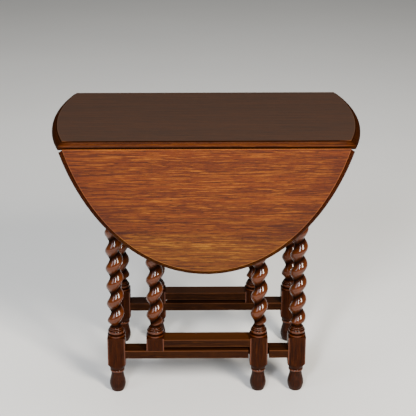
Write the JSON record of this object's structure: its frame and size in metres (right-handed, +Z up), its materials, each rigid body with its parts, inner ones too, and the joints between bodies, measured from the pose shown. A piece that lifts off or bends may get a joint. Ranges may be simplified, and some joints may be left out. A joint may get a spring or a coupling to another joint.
{
  "type": "gateleg table",
  "caption": "Oval drop-leaf table with rule joints, spiral-turned legs and swinging gates that carry the raised leaves.",
  "frame": {"origin": "on the floor under the middle of the top", "axes": "+X along the length of the fixed board, +Y towards the rear leaf, +Z up; both leaves hang at rest"},
  "size_m": [0.78, 0.432, 0.72],
  "materials": {
    "top_oak": "dark stained oak, satin polish",
    "leaf_oak": "faded orange-brown oak, satin polish",
    "turned_oak": "dark red-brown oak, gloss polish",
    "rail_oak": "dark stained oak, satin polish",
    "block_oak": "unpolished oak",
    "dowel_beech": "bare beech",
    "hinge_brass": "dull brass",
    "hinge_steel": "bright wire",
    "screw_steel": "plain steel"
  },
  "bodies": {
    "frame": {"apron_front": "rail_oak", "apron_left": "rail_oak", "apron_rear": "rail_oak", "apron_right": "rail_oak", "fixing_block_front_left": "block_oak", "fixing_block_front_right": "block_oak", "fixing_block_rear_left": "block_oak", "fixing_block_rear_right": "block_oak", "fixing_screws": "screw_steel", "hinge_pin_front_left": "hinge_steel", "hinge_pin_front_right": "hinge_steel", "hinge_pin_rear_left": "hinge_steel", "hinge_pin_rear_right": "hinge_steel", "hinge_top_flap_front_left": "hinge_brass", "hinge_top_flap_front_right": "hinge_brass", "hinge_top_flap_rear_left": "hinge_brass", "hinge_top_flap_rear_right": "hinge_brass", "hinge_top_screws_front": "screw_steel", "hinge_top_screws_rear": "screw_steel", "leg_front_left": "turned_oak", "leg_front_right": "turned_oak", "leg_rear_left": "turned_oak", "leg_rear_right": "turned_oak", "stretcher_front": "rail_oak", "stretcher_rear": "rail_oak", "top_board": "top_oak"},
    "leaf_front": {"gate_stop_front": "block_oak", "gate_stop_screws_front": "screw_steel", "hinge_leaf_flap_front_left": "hinge_brass", "hinge_leaf_flap_front_right": "hinge_brass", "hinge_leaf_screws_front": "screw_steel", "leaf_front": "leaf_oak"},
    "leaf_rear": {"gate_stop_rear": "block_oak", "gate_stop_screws_rear": "screw_steel", "hinge_leaf_flap_rear_left": "hinge_brass", "hinge_leaf_flap_rear_right": "hinge_brass", "hinge_leaf_screws_rear": "screw_steel", "leaf_rear": "leaf_oak"},
    "gate_front": {"gate_leg_front": "turned_oak", "gate_pivot_lower_front": "dowel_beech", "gate_pivot_upper_front": "dowel_beech", "gate_post_front": "turned_oak", "gate_rail_lower_front": "rail_oak", "gate_rail_upper_front": "rail_oak"},
    "gate_rear": {"gate_leg_rear": "turned_oak", "gate_pivot_lower_rear": "dowel_beech", "gate_pivot_upper_rear": "dowel_beech", "gate_post_rear": "turned_oak", "gate_rail_lower_rear": "rail_oak", "gate_rail_upper_rear": "rail_oak"}
  },
  "joints": [
    {"name": "leaf_front_fold", "type": "hinge", "parent": "frame", "child": "leaf_front", "pos_m": [0, -0.2, 0.704], "axis": [-1, 0, 0], "range_deg": [0, 90]},
    {"name": "leaf_rear_fold", "type": "hinge", "parent": "frame", "child": "leaf_rear", "pos_m": [0, 0.2, 0.704], "axis": [1, 0, 0], "range_deg": [0, 90]},
    {"name": "gate_front_swing", "type": "hinge", "parent": "frame", "child": "gate_front", "pos_m": [-0.1345, -0.1382, 0.36], "axis": [0, 0, -1], "range_deg": [0, 90]},
    {"name": "gate_rear_swing", "type": "hinge", "parent": "frame", "child": "gate_rear", "pos_m": [0.1345, 0.1382, 0.36], "axis": [0, 0, -1], "range_deg": [0, 90]}
  ],
  "couplings": [
    {"joint": "gate_front_swing", "follows": "leaf_front_fold", "ratio": 0.1},
    {"joint": "gate_rear_swing", "follows": "leaf_rear_fold", "ratio": 0.1}
  ]
}
